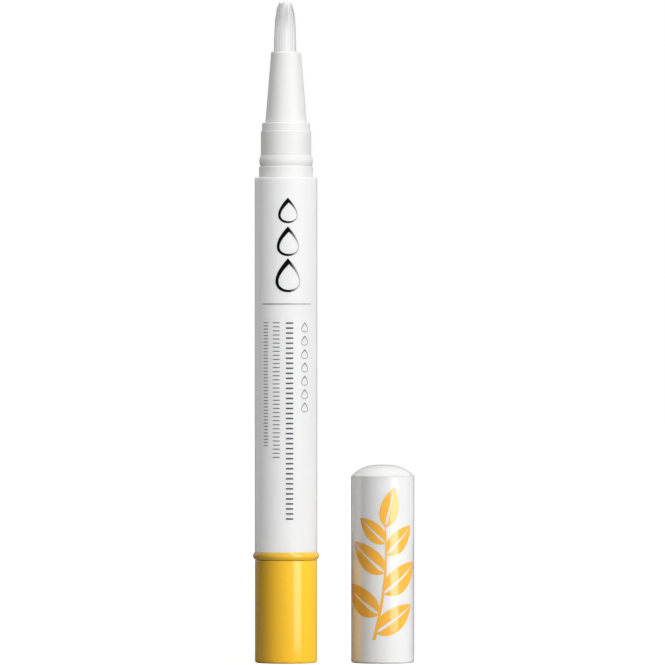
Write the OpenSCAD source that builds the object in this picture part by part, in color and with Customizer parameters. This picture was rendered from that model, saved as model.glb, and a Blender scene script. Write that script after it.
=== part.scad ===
// Twist pen for nail oil: a turning knob at the foot drives a screw that pushes a
// piston up the barrel, so that oil leaves through a pipe into a brush. The cap is off
// and stands beside the pen. The origin is the middle of the knob's foot, +Z is up.

/* [Barrel] */
// Outside diameter of the barrel
barrel_d = 12; // [11.6:0.1:14]
// Wall of the barrel
barrel_wall = 1.2; // [1:0.05:1.3]
// Length of the barrel from the trim ring to its front edge
barrel_len = 71.8; // [60:0.1:90]
// Rounding of the barrel's front edge
barrel_edge = 0.2; // [0.1:0.05:0.4]

/* [Knob and trim ring] */
// Length of the turning knob
knob_len = 19.7; // [17:0.1:24]
// Wall of the knob's outer shell
knob_wall = 0.55; // [0.45:0.05:0.6]
// Thickness of the shell's floor
knob_floor = 0.7; // [0.6:0.05:1.2]
// Wall of the knob's core
core_wall = 0.5; // [0.45:0.05:0.6]
// Rounding of the knob's foot
knob_edge = 0.5; // [0.3:0.05:0.7]
// How much smaller the knob's radius is than the barrel's
knob_inset = 0.03; // [0:0.01:0.1]
// How far the trim ring stands out from the barrel
ring_stand = 0.36; // [0.2:0.02:0.6]
// Height of the trim ring
ring_h = 1.45; // [1:0.05:2]

/* [Nozzle] */
// Height of the nozzle above the barrel
nozzle_h = 24.2; // [22:0.1:27]
// Radius of the nozzle's open tip
nozzle_tip_r = 2.88; // [2.85:0.05:3.3]
// Radius of the cone at its foot
cone_foot_r = 3.99; // [3.9:0.05:4.2]
// How far the collar lies over the barrel's end face
collar_ledge = 0.37; // [0.25:0.01:0.5]
// Height of the collar up to the snap groove
collar_h = 1.9; // [1.6:0.05:2.2]
// Depth of the snap groove below the collar
groove_depth = 0.29; // [0.2:0.01:0.35]
// Height of the snap bead
bead_h = 2.1; // [1.6:0.05:2.4]
// Height of the seal land above the snap bead
land_h = 4.55; // [3.6:0.05:5.2]
// Height of the step between the seal land and the cone
step_h = 1.65; // [1.2:0.05:2]
// Length of the spigot that plugs into the barrel
spigot_len = 5.5; // [4.5:0.1:7]

/* [Brush] */
// Radius of the tuft where it leaves the nozzle
tuft_r = 2.15; // [2:0.05:2.2]
// Length of the tuft that stands out of the nozzle
tuft_reach = 9.6; // [8:0.1:12]
// Length of the tuft inside the nozzle
tuft_hidden = 10.2; // [8:0.1:11]
// How far the tuft leans to the side at the nozzle's mouth
tuft_lean = 0.19; // [0:0.01:0.2]
// Number of strands
strands = 340; // [300:10:400]

/* [Cap] */
// Distance from the pen's axis to the axis of the cap that stands beside it
cap_apart = 18.54; // [15:0.1:40]
// Wall of the cap
cap_wall = 0.815; // [0.7:0.005:1]
// Height of the domed end
dome_h = 2.2; // [1.6:0.05:3]
// Free height between the brush and the inner cap
tip_room = 0.5; // [0.3:0.05:1.2]
// Free height between the inner cap and the domed end
dome_room = 0.7; // [0.4:0.05:1.5]
// Rounding of the cap's mouth
cap_edge = 0.5; // [0.3:0.05:0.6]

/* [Feed screw] */
// Pitch of the screw
pitch = 2; // [1.6:0.1:2.6]
// Largest radius of the screw's thread
screw_r = 2.2; // [2:0.05:2.25]
// Depth of the thread
thread_depth = 0.45; // [0.35:0.05:0.55]
// Distance between the screw's two flats
screw_flats = 2.9; // [2.6:0.1:3.1]
// Length of the fixed nut
nut_len = 5; // [4:0.5:7]
// Length of the piston
piston_len = 5.8; // [5:0.1:7]
// Number of clicks in one turn
clicks = 12; // [8:1:18]

/* [Hidden] */
$fn = 96;

// Clearances: pressed together, turning or sliding, and loose
fit = 0.03;
run = 0.08;
slack = 0.15;
// Overrun of every cut past the face that it opens
over = 1;
// Axial gaps: face to face in the stack, and between the knob and the ring
gap = 0.3;
knob_gap = 0.1;
// Steps in a small rounding and in a large curve
round_steps = 6;
curve_steps = 24;

// Barrel
barrel_r = barrel_d / 2;
bore_r = barrel_r - barrel_wall;
ring_z = knob_len + knob_gap;
barrel_z = ring_z + ring_h;
front_z = barrel_z + barrel_len;
nut_stop_h = 0.3;
nut_stop_depth = 0.15;

// Knob: a shell glued over a core, which turns on the tail bush
knob_r = barrel_r - knob_inset;
knob_bore_r = knob_r - knob_wall;
knob_top_edge = 0.15;
core_r = knob_bore_r - fit;
core_bore_r = core_r - core_wall;
core_z = knob_floor + fit;
core_floor = 0.7;
core_floor_z = core_z + core_floor;
core_snap_share = 0.72;
core_snap_z = knob_len * core_snap_share;
core_snap_h = 0.9;
core_snap_depth = 0.27;
socket_h = 2.8;
socket_wall = 0.7;
lugs = 6;
lug_w = 1.2;
lug_reach = 0.5;

// Tail bush, which carries the knob, clamps the trim ring and holds the click teeth
bush_r = bore_r - fit;
bush_foot_r = core_bore_r - run;
bush_wall = 1;
bush_in_r = bush_r - bush_wall;
bush_grip = 11.8;
bush_z = core_floor_z + socket_h + 2 * gap;
bush_top = barrel_z + bush_grip;
flange_h = 0.8;
flange_z = ring_z - flange_h;
core_top = flange_z - knob_gap;
bearing_h = 3;
tooth_h = 3.5;
tooth_depth = 0.33;
tooth_wall = 0.46;
tooth_root_r = bush_foot_r - tooth_wall;
tooth_crest_r = tooth_root_r - tooth_depth;
tooth_ramp_share = 0.96;
tooth_steps = 4;
grip_cuts = 8;
grip_cut_r = 0.25;

// Feed: the same travel has to fit above the nut, for the piston, and below it, for the screw
joint_h = 1.4;
seal_h = 0.9;
joint_z = front_z - spigot_len - joint_h;
screw_z = core_floor_z + 2 * gap + slack;
key_hold = 3.7;
piston_rest = 0.4;
travel = (joint_z - piston_rest - piston_len - 2 * gap - nut_len - key_hold - screw_z) / 2;
nut_z = screw_z + travel + key_hold;
piston_z = nut_z + nut_len + 2 * gap;

// Screw, its head and its drive. A turn of thread has four points in its outline.
thread_sides = 20;
thread_rows = 4;
crest_share = 0.13;
flank_share = 0.12;
crest_half = pitch * crest_share;
flank = pitch * flank_share;
screw_core_r = screw_r - thread_depth;
neck_r = 1.1;
neck_h = 1.2;
head_r = 1.6;
head_h = 1.3;
screw_top = nut_z + nut_len;
head_z = screw_top + neck_h;
sleeve_wall = 0.55;
sleeve_r = screw_r + slack + sleeve_wall;
sleeve_z = core_floor_z + fit;
sleeve_top = nut_z - gap;
sleeve_bore_z = screw_z - gap;
foot_r = core_bore_r - socket_wall - fit;
foot_h = 2.6;
nut_knurls = 12;
nut_knurl_r = 0.22;

// Click ring, whose arms end where the teeth have a root
click_h = 2.6;
click_z = bush_z + (tooth_h - click_h) / 2;
click_hub = 0.45;
click_arm = 0.34;
click_arms = 2;
click_hub_in = sleeve_r + fit;
click_hub_out = click_hub_in + click_hub;
arm_r = (tooth_crest_r - run + click_hub_out) / 2;
pawl_w = 0.6;
pawl_tip_r = tooth_root_r - slack;
tooth_pitch = 360 / clicks;
arm_goal = 120;
arm_sweep = tooth_pitch * round(arm_goal / tooth_pitch);

// Piston
lip_r = bore_r - run;
waist_r = bore_r - 2 * slack;
lip_h = 0.9;
seal_wire_r = 0.55;
dish_depth = 0.8;
dish_share = 0.55;

// Nozzle, from the barrel's front edge upwards
collar_r = bore_r + collar_ledge;
groove_r = collar_r - groove_depth;
land_r = groove_r - fit - fit / 2;
groove_z = front_z + collar_h + groove_depth;
bead_top = groove_z + bead_h;
land_top = bead_top + land_h;
step_r = land_r - slack - fit;
step_taper = 0.07;
step_edge = 0.15;
cone_z = land_top + step_h;
tip_z = front_z + nozzle_h;
tip_edge = 0.35;
mouth_r = tuft_r + tuft_lean + 2 * fit;
seat_z = tip_z - tuft_hidden;
seat_ledge = 0.35;
root_r = mouth_r + seat_ledge;
root_h = 0.9;
socket_r = 3.7;
ferrule_z = front_z + collar_h + bead_h + land_h / 2;
ferrule_foot_h = 1.4;
spigot_z = front_z - spigot_len;

// Oil path
pipe_r = 0.8;
pipe_bore_r = 0.5;
joint_spigot = 3.2;
joint_wall = 0.8;
hub_r = 1.7;
pipe_seat_z = joint_z + joint_h / 2;

// Tuft: each strand has a ring at its root, at the nozzle's mouth, at its bend and at its end
strand_sides = 3;
strand_fill_share = 0.69;
strand_r = tuft_r * strand_fill_share / sqrt(strands);
golden_angle = 180 * (3 - sqrt(5));
root_thin_share = 0.86;
bend_thin_share = 0.9;
end_thin_share = 0.3;
bend_share = 0.62;
bend_pull_share = 0.955;
end_pull_share = 0.845;
end_drop_share = 0.25;
end_drop_power = 4;
stray_share = 0.035;
stray_seed = 7;
strays = rands(0, 1, strands, stray_seed);

// Cap, with heights above its own mouth
cap_bore_r = collar_r + slack / 2;
cap_r = cap_bore_r + cap_wall;
cap_snap_share = 0.6;
cap_snap_z = groove_z - front_z;
cap_snap_h = 0.8;
cap_snap_depth = cap_bore_r - collar_r + groove_depth * cap_snap_share;
inner_wall = 0.45;
seal_bore_r = land_r + run / 2;
inner_lip_z = bead_top - front_z + gap;
inner_step_z = cone_z - front_z + gap;
inner_r = step_r + fit;
inner_bore_r = inner_r - inner_wall;
inner_top = nozzle_h + tuft_reach + tip_room;
inner_roof = 0.8;
cap_len = inner_top + inner_roof + dome_room;
dome_spigot_h = 1.8;
dome_power = 3;

// An arc of points round a centre, with angles in degrees
function arc(x, y, r, from, to, steps) =
    [for (i = [0:steps]) let (a = from + (to - from) * i / steps) [x + r * cos(a), y + r * sin(a)]];

// A bulge of points that rises from one radius and falls to another
function bulge(r_a, z_a, r_b, z_b, stand, steps) =
    [for (i = [1:steps - 1]) let (t = i / steps)
        [r_a + (r_b - r_a) * t + stand * sin(180 * t), z_a + (z_b - z_a) * t]];

module turn(points) {
    rotate_extrude() polygon(points);
}

module tube(outer, inner, z, h) {
    translate([0, 0, z]) difference() {
        cylinder(r = outer, h = h);
        translate([0, 0, -over]) cylinder(r = inner, h = h + 2 * over);
    }
}

// Grooves along the outside of a round piece, which keep it from turning in the barrel
module grip_grooves(r, z, h, cuts, cut_r) {
    for (i = [0:cuts - 1])
        rotate([0, 0, 360 * i / cuts]) translate([r, 0, z - over])
            cylinder(r = cut_r, h = h + 2 * over, $fn = 24);
}

// A right-handed screw thread with two flats. Its crests lie on one helix through the
// X axis, so a screw is always in mesh with a nut cut by a wider thread.
function thread_radius(q, minor, major) = (q == 1 || q == 2) ? major : minor;
function thread_offset(q, half, slope) = [-half - slope, -half, half, half + slope][q];
function flat_limit(r, a, flats) = r * abs(cos(a)) > flats / 2 ? flats / 2 / abs(cos(a)) : r;
function thread_point(row, j, z_a, z_b, minor, major, half, slope, flats) = let (
        a = 360 * j / thread_sides,
        q = row % thread_rows,
        turns = floor(z_a / pitch) - 2 + floor(row / thread_rows) + j / thread_sides,
        z = pitch * turns + thread_offset(q, half, slope),
        r = (z <= z_a || z >= z_b) ? minor : thread_radius(q, minor, major),
        shown = flat_limit(r, a, flats)
    ) [shown * cos(a), shown * sin(a), min(max(z, z_a), z_b)];

module thread(z_a, z_b, minor, major, half, slope, flats) {
    spare_turns = 5;
    rows = thread_rows * (ceil((z_b - z_a) / pitch) + spare_turns);
    cols = thread_sides;
    foot = cols * (rows + 1);
    head = foot + 1;
    points = concat(
        [for (j = [0:cols - 1]) for (row = [0:rows])
            thread_point(row, j, z_a, z_b, minor, major, half, slope, flats)],
        [[0, 0, z_a], [0, 0, z_b]]);
    function at(row, j) = j < cols ? j * (rows + 1) + row : min(row + thread_rows, rows);
    function apart(f) = points[f[0]] != points[f[1]] && points[f[1]] != points[f[2]]
        && points[f[2]] != points[f[0]];
    sides = [for (j = [0:cols - 1]) for (row = [0:rows - 1])
        for (f = [[at(row, j), at(row + 1, j), at(row + 1, j + 1)],
                  [at(row, j), at(row + 1, j + 1), at(row, j + 1)]]) f];
    ends = [for (j = [0:cols - 1]) for (f = [[foot, at(0, j), at(0, j + 1)],
                                             [head, at(rows, j + 1), at(rows, j)]]) f];
    polyhedron(points, [for (f = concat(sides, ends)) if (apart(f)) f]);
}

// A plate with two flats, which fits the screw or leaves room for it
module flatted(r, flats) {
    intersection() {
        circle(r = r);
        square([flats, 2 * r + over], center = true);
    }
}

module barrel() {
    stop_z = piston_z - gap;
    color("white") turn(concat(
        [[bore_r, barrel_z], [barrel_r, barrel_z]],
        arc(barrel_r - barrel_edge, front_z - barrel_edge, barrel_edge, 0, 90, round_steps),
        [[bore_r, front_z], [bore_r, stop_z + nut_stop_h / 2],
         [bore_r - nut_stop_depth, stop_z], [bore_r - nut_stop_depth, stop_z - nut_stop_h / 2],
         [bore_r, stop_z - nut_stop_h / 2]]));
}

module trim_ring() {
    color("gold") turn(concat(
        [[bush_r + fit, ring_z], [barrel_r, ring_z]],
        bulge(barrel_r, ring_z, barrel_r, barrel_z, ring_stand, curve_steps),
        [[barrel_r, barrel_z], [bush_r + fit, barrel_z]]));
}

module knob() {
    color("gold") turn(concat(
        [[0, 0]],
        arc(knob_r - knob_edge, knob_edge, knob_edge, -90, 0, round_steps),
        arc(knob_r - knob_top_edge, knob_len - knob_top_edge, knob_top_edge, 0, 90, round_steps),
        [[knob_bore_r, knob_len], [knob_bore_r, knob_floor], [0, knob_floor]]));
}

// The core has a bead that snaps into the bush and a slotted socket that drives the sleeve
module knob_core() {
    bead_low = core_snap_z - core_snap_h / 2;
    bead_high = core_snap_z + core_snap_h / 2;
    socket_r_in = core_bore_r - socket_wall;
    color("gainsboro") difference() {
        turn(concat(
            [[0, core_z], [core_r, core_z], [core_r, core_top], [core_bore_r, core_top],
             [core_bore_r, bead_high]],
            bulge(core_bore_r, bead_high, core_bore_r, bead_low, -core_snap_depth, round_steps),
            [[core_bore_r, bead_low], [core_bore_r, core_floor_z + socket_h],
             [socket_r_in, core_floor_z + socket_h], [socket_r_in, core_floor_z],
             [0, core_floor_z]]));
        for (i = [0:lugs - 1])
            rotate([0, 0, 360 * i / lugs]) translate([0, -lug_w / 2 - fit, core_floor_z])
                cube([foot_r + lug_reach + fit, lug_w + 2 * fit, socket_h + over]);
    }
}

module tail_bush() {
    tooth_top = bush_z + tooth_h;
    slot_low = core_snap_z - core_snap_h / 2 - knob_gap;
    slot_high = core_snap_z + core_snap_h / 2 + knob_gap;
    color("gainsboro") difference() {
        union() {
            turn([[tooth_root_r, bush_z], [bush_foot_r, bush_z], [bush_foot_r, slot_low],
                  [bush_foot_r - core_snap_depth, slot_low],
                  [bush_foot_r - core_snap_depth, slot_high], [bush_foot_r, slot_high],
                  [bush_foot_r, flange_z], [knob_bore_r - run, flange_z],
                  [knob_bore_r - run, ring_z], [bush_r, ring_z], [bush_r, bush_top],
                  [sleeve_r + run, bush_top], [sleeve_r + run, bush_top - bearing_h],
                  [bush_in_r, bush_top - bearing_h], [bush_in_r, tooth_top],
                  [tooth_root_r, tooth_top]]);
            translate([0, 0, bush_z]) linear_extrude(tooth_h) click_teeth();
        }
        grip_grooves(bush_r + grip_cut_r / 2, barrel_z, bush_grip, grip_cuts, grip_cut_r);
    }
}

// The ring of saw teeth that the pawls click over: the space inside it ramps in from
// each root to the next crest
module click_teeth() {
    difference() {
        circle(r = tooth_root_r + fit);
        polygon([for (i = [0:clicks - 1]) for (k = [0:tooth_steps])
            let (part = k / tooth_steps,
                 a = tooth_pitch * (i + part * tooth_ramp_share),
                 r = tooth_root_r - tooth_depth * part)
            [r * cos(a), r * sin(a)]]);
    }
}

module drive_sleeve() {
    color("gainsboro") difference() {
        union() {
            translate([0, 0, sleeve_z]) cylinder(r = sleeve_r, h = sleeve_top - sleeve_z);
            translate([0, 0, sleeve_z]) cylinder(r = foot_r, h = foot_h);
            for (i = [0:lugs - 1])
                rotate([0, 0, 360 * i / lugs]) translate([0, -lug_w / 2, sleeve_z])
                    cube([foot_r + lug_reach, lug_w, foot_h - gap]);
        }
        translate([0, 0, sleeve_bore_z]) linear_extrude(sleeve_top - sleeve_bore_z + over)
            flatted(screw_r + slack, screw_flats + 2 * slack);
    }
}

// Two sprung arms on a hub, with a pawl at the end of each
module click_ring() {
    color("whitesmoke") translate([0, 0, click_z]) difference() {
        union() {
            cylinder(r = click_hub_out, h = click_h);
            for (i = [0:click_arms - 1]) rotate(360 * i / click_arms) {
                linear_extrude(click_h) arm_strip(click_hub_out - click_arm, arm_r, click_arm);
                rotate(arm_sweep) linear_extrude(click_h) pawl();
            }
        }
        translate([0, 0, -over]) cylinder(r = click_hub_in, h = click_h + 2 * over);
    }
}

module pawl() {
    in = arm_r - click_arm / 2;
    out = arm_r + click_arm / 2;
    polygon([[in, -slack], [out, -slack], [out, slack / 2], [pawl_tip_r, slack / 2],
             [pawl_tip_r, slack], [out, pawl_w], [in, pawl_w]]);
}

// One arm, which winds out from the hub to the pawl
module arm_strip(r_a, r_b, w) {
    rim = [for (i = [0:curve_steps]) let (t = i / curve_steps) [r_a + (r_b - r_a) * t, arm_sweep * t]];
    polygon(concat(
        [for (p = rim) [(p[0] - w / 2) * cos(p[1]), (p[0] - w / 2) * sin(p[1])]],
        [for (k = [curve_steps:-1:0]) let (p = rim[k])
            [(p[0] + w / 2) * cos(p[1]), (p[0] + w / 2) * sin(p[1])]]));
}

module screw_rod() {
    color("white") {
        thread(screw_z, screw_top, screw_core_r, screw_r, crest_half, flank, screw_flats);
        translate([0, 0, screw_top]) cylinder(r = neck_r, h = neck_h);
        translate([0, 0, head_z]) cylinder(r1 = head_r, r2 = neck_r, h = head_h);
    }
}

module feed_nut() {
    color("gainsboro") difference() {
        translate([0, 0, nut_z]) cylinder(r = bush_r, h = nut_len);
        thread(nut_z - pitch, nut_z + nut_len + pitch, screw_core_r + slack, screw_r + slack,
               crest_half + slack, flank, 4 * screw_r);
        grip_grooves(bush_r + nut_knurl_r / 2, nut_z, nut_len, nut_knurls, nut_knurl_r);
    }
}

module piston() {
    top = piston_z + piston_len;
    seal_mid = piston_z + piston_len / 2;
    socket_top = head_z + head_h + slack;
    color("white") difference() {
        turn([[0, piston_z], [lip_r - lip_h / 2, piston_z], [lip_r, piston_z + fit],
              [lip_r, piston_z + lip_h], [waist_r, piston_z + lip_h + slack],
              [waist_r, seal_mid - seal_wire_r - fit],
              [lip_r - 2 * seal_wire_r - fit, seal_mid - seal_wire_r - fit],
              [lip_r - 2 * seal_wire_r - fit, seal_mid + seal_wire_r + fit],
              [waist_r, seal_mid + seal_wire_r + fit],
              [waist_r, top - lip_h - slack], [lip_r, top - lip_h], [lip_r, top - fit],
              [lip_r - lip_h / 2, top],
              [bore_r * dish_share + dish_depth, top], [bore_r * dish_share, top - dish_depth],
              [0, top - dish_depth]]);
        translate([0, 0, piston_z - over]) cylinder(r = neck_r + slack, h = over + neck_h);
        translate([0, 0, head_z - slack])
            cylinder(r = head_r + slack, h = socket_top - head_z + slack);
    }
}

module piston_seal() {
    color("dimgray") translate([0, 0, piston_z + piston_len / 2])
        rotate_extrude() translate([lip_r - seal_wire_r, 0]) circle(r = seal_wire_r);
}

module nozzle() {
    color("white") turn(concat(
        [[bush_r, spigot_z], [bush_r, front_z], [collar_r, front_z]],
        arc(collar_r - groove_depth, front_z + collar_h, groove_depth, 0, 90, round_steps),
        bulge(groove_r, groove_z, land_r, bead_top, groove_depth, curve_steps),
        [[land_r, bead_top], [land_r, land_top], [step_r, land_top + fit]],
        arc(step_r - step_taper - step_edge, cone_z - step_edge, step_edge, 0, 90, round_steps),
        [[cone_foot_r, cone_z + fit]],
        arc(nozzle_tip_r - tip_edge, tip_z - tip_edge, tip_edge, 0, 90, round_steps),
        [[mouth_r, tip_z], [mouth_r, seat_z], [root_r + fit, seat_z], [root_r + fit, ferrule_z],
         [socket_r, ferrule_z], [socket_r, spigot_z]]));
}

// The plug that closes the oil chamber and holds the pipe
module pipe_joint() {
    wide = socket_r - fit;
    floor_z = joint_z + joint_h - seal_h;
    rim = spigot_z + joint_spigot;
    color("white") turn([
        [pipe_bore_r, joint_z], [bush_r, joint_z], [bush_r, floor_z],
        [wide, floor_z], [wide, rim], [wide - joint_wall, rim], [wide - joint_wall, spigot_z],
        [hub_r, spigot_z], [hub_r, rim], [pipe_r + fit, rim],
        [pipe_r + fit, pipe_seat_z], [pipe_bore_r, pipe_seat_z]]);
}

// The soft washer between the plug and the nozzle's spigot
module joint_seal() {
    color("dimgray") tube(bush_r, socket_r, spigot_z - seal_h, seal_h);
}

module feed_pipe() {
    color("silver") tube(pipe_r, pipe_bore_r, pipe_seat_z, seat_z - pipe_seat_z);
}

// The bush that presses the tuft's root against its seat in the nozzle
module brush_ferrule() {
    bore = pipe_r + 2 * fit;
    color("white") turn([
        [bore, ferrule_z - ferrule_foot_h], [socket_r - fit, ferrule_z - ferrule_foot_h],
        [socket_r - fit, ferrule_z], [root_r, ferrule_z], [root_r, seat_z - root_h],
        [bore, seat_z - root_h]]);
}

// The tuft: strands laid out in a sunflower spiral, so that none cross, on a fused root.
// Each runs from the root to the nozzle's mouth, bends in and comes to a point.
function spread(share, inner, outer) = sqrt(inner * inner + (outer * outer - inner * inner) * share);
function strand_ring(out, turned, lean, z, r) =
    [for (k = [0:strand_sides - 1]) let (a = turned + 360 * k / strand_sides)
        [out * cos(turned) + r * cos(a) - lean, out * sin(turned) + r * sin(a), z]];

module strand(i) {
    share = (i + 0.5) / strands;
    a = i * golden_angle;
    low = spread(share, pipe_r + 2 * strand_r, tuft_r - strand_r);
    out = spread(share, 0, tuft_r - strand_r);
    drop = end_drop_share * pow(out / tuft_r, end_drop_power) + stray_share * strays[i];
    reach = tuft_reach * (1 - drop);
    rings = [
        strand_ring(low, a, 0, seat_z - root_h / 2, strand_r * root_thin_share),
        strand_ring(out, a, tuft_lean, tip_z, strand_r),
        strand_ring(out * bend_pull_share, a, tuft_lean, tip_z + reach * bend_share,
                    strand_r * bend_thin_share),
        strand_ring(out * end_pull_share, a, tuft_lean, tip_z + reach, strand_r * end_thin_share)];
    n = strand_sides;
    last = (len(rings) - 1) * n;
    polyhedron([for (ring = rings) for (p = ring) p], concat(
        [[for (k = [0:n - 1]) k], [for (k = [n - 1:-1:0]) last + k]],
        [for (s = [0:n:last - n]) for (k = [0:n - 1]) let (a = s + k, b = s + (k + 1) % n)
            for (f = [[a, a + n, b + n], [a, b + n, b]]) f]));
}

module brush_tuft() {
    color("white") {
        tube(root_r, pipe_r + fit, seat_z - root_h, root_h);
        for (i = [0:strands - 1]) strand(i);
    }
}

module cap_sleeve() {
    bead_low = cap_snap_z - cap_snap_h / 2;
    bead_high = cap_snap_z + cap_snap_h / 2;
    color("white") translate([cap_apart, 0, 0]) turn(concat(
        [[cap_bore_r, 0]],
        arc(cap_r - cap_edge, cap_edge, cap_edge, -90, 0, round_steps),
        [[cap_r, cap_len], [cap_bore_r, cap_len], [cap_bore_r, bead_high]],
        bulge(cap_bore_r, bead_high, cap_bore_r, bead_low, -cap_snap_depth, round_steps),
        [[cap_bore_r, bead_low]]));
}

// The domed end, flat at its crown and steeper at its rim, over a spigot
module cap_dome() {
    out = cap_bore_r - fit;
    inside = inner_r + fit;
    color("white") translate([cap_apart, 0, cap_len]) turn(concat(
        [[inside, -dome_spigot_h], [out, -dome_spigot_h], [out, 0]],
        [for (k = [0:curve_steps]) let (u = 1 - k / curve_steps)
            [cap_r * u, dome_h * (1 - pow(u, dome_power))]],
        [[0, 0], [inside, 0]]));
}

module inner_cap() {
    color("whitesmoke") translate([cap_apart, 0, 0]) turn([
        [seal_bore_r, inner_lip_z], [cap_bore_r - fit, inner_lip_z],
        [cap_bore_r - fit, inner_step_z + inner_wall], [inner_r, inner_step_z + 2 * inner_wall],
        [inner_r, inner_top + inner_roof], [0, inner_top + inner_roof], [0, inner_top],
        [inner_bore_r, inner_top], [inner_bore_r, inner_step_z + inner_wall],
        [seal_bore_r, inner_step_z]]);
}

barrel();
knob();
knob_core();
trim_ring();
tail_bush();
drive_sleeve();
click_ring();
screw_rod();
feed_nut();
piston();
piston_seal();
nozzle();
pipe_joint();
joint_seal();
feed_pipe();
brush_ferrule();
brush_tuft();
cap_sleeve();
cap_dome();
inner_cap();
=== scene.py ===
"""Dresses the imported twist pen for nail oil: finishes for its moulded shells, a full tuft of
fine bristles in place of the coarse one, printed decoration on the barrel and the cap, and
a small white studio."""

import math
import random

import bpy
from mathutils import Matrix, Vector


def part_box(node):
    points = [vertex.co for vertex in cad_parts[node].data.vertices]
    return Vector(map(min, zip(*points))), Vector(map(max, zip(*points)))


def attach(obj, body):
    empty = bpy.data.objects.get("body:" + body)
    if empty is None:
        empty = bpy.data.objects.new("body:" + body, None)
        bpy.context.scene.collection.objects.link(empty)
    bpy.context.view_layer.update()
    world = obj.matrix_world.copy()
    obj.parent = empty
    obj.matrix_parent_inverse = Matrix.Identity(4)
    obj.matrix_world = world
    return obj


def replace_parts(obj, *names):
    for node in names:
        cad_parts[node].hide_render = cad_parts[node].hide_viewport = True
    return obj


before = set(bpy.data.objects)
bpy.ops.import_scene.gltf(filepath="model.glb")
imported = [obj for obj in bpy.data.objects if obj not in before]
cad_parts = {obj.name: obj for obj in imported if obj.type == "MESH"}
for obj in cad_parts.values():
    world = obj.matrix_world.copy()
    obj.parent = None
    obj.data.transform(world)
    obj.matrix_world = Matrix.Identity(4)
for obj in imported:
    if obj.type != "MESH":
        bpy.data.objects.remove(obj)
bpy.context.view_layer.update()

bl_info = {
    "name": "Nail Oil Pen",
    "version": (1, 0, 0),
    "blender": (4, 5, 0),
    "location": "View3D > Sidebar > Oil Pen",
    "description": "Finishes, bristles, prints and studio for a twist pen for nail oil",
    "category": "Add Mesh",
}

MM = 0.001
PEN, CAP = "pen", "cap"

BARREL_LOW, BARREL_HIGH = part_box("barrel")
NOZZLE_LOW, NOZZLE_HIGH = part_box("nozzle")
CAP_LOW, CAP_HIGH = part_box("cap_sleeve")
TUFT_LOW, TUFT_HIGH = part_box("brush_tuft")
BARREL_R = (BARREL_HIGH.x - BARREL_LOW.x) / 2
CAP_R = (CAP_HIGH.x - CAP_LOW.x) / 2
CAP_X = (CAP_HIGH.x + CAP_LOW.x) / 2


# Settings that a user would change

def colour_of(name, text, default):
    """A colour that the user can set."""
    return bpy.props.FloatVectorProperty(name=name, description=text, subtype="COLOR",
                                         size=3, min=0, max=1, default=default)


def lamp_power(name, text, default, most=60):
    """The power of a lamp, in watts."""
    return bpy.props.FloatProperty(name=name, description="Power of " + text, min=0,
                                   max=most, default=default, unit="POWER")


class ShellSettings(bpy.types.PropertyGroup):
    """Colours and gloss of the moulded shells"""
    barrel_white: colour_of("Barrel White", "Colour of the glossy barrel", (0.87, 0.87, 0.867))
    cap_white: colour_of("Cap White", "Colour of the cap's sleeve", (0.86, 0.86, 0.857))
    dome_white: colour_of("Dome White", "Colour of the cap's domed end", (0.90, 0.905, 0.88))
    nozzle_white: colour_of("Nozzle White", "Colour of the satin nozzle", (0.815, 0.815, 0.80))
    knob_yellow: colour_of("Knob Yellow", "Colour of the turning knob", (0.92, 0.53, 0.025))
    ring_yellow: colour_of("Ring Yellow", "Colour of the trim ring", (0.86, 0.50, 0.03))
    shell_gloss: bpy.props.FloatProperty(
        name="Shell Roughness", description="Roughness of the polished shells",
        subtype="FACTOR", min=0.02, max=0.6, default=0.12)
    nozzle_gloss: bpy.props.FloatProperty(
        name="Nozzle Roughness", description="Roughness of the satin nozzle",
        subtype="FACTOR", min=0.05, max=0.8, default=0.3)


class TuftSettings(bpy.types.PropertyGroup):
    """Number, size and colour of the bristles"""
    bristles: bpy.props.IntProperty(
        name="Bristles", description="Number of bristles in the tuft", min=300, max=1700,
        default=1500)
    thickness: bpy.props.FloatProperty(
        name="Bristle Thickness", description="Diameter of one bristle at the mouth",
        subtype="DISTANCE", min=0.00004, max=0.0002, default=0.0001)
    lean: bpy.props.FloatProperty(
        name="Lean", description="How far the tuft stands off the pen's axis at the mouth",
        subtype="DISTANCE", min=0, max=0.0002, default=0.00019)
    seed: bpy.props.IntProperty(
        name="Seed", description="Start of the random draws for the bristles", min=0,
        default=11)
    tone: colour_of("Bristle White", "Colour of the bristles", (0.92, 0.92, 0.918))


class PrintSettings(bpy.types.PropertyGroup):
    """Places and colours of the printed decoration"""
    ink_depth: bpy.props.FloatProperty(
        name="Ink Thickness", description="Thickness of the printed ink",
        subtype="DISTANCE", min=0.000004, max=0.00005, default=0.000012)
    rule_z: bpy.props.FloatProperty(
        name="Rule Height", description="Height of the thin rule on the barrel",
        subtype="DISTANCE", min=0.05, max=0.09, default=0.0688)
    scale_top: bpy.props.FloatProperty(
        name="Scale Top", description="Height of the upper end of the dose scale",
        subtype="DISTANCE", min=0.04, max=0.068, default=0.0653)
    black_ink: colour_of("Black Ink", "Colour of the emblem where it is darkest",
                         (0.003, 0.003, 0.003))
    # The emblem is painted lighter with this grey towards the barrel's lit right: painted
    # light
    painted_light_grey_ink: colour_of("Grey Ink", "Colour that the emblem fades to", (0.42, 0.42, 0.42))
    gold_ink: colour_of("Golden Ink", "Colour of the sprigs on the cap", (0.75, 0.37, 0.037))


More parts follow.
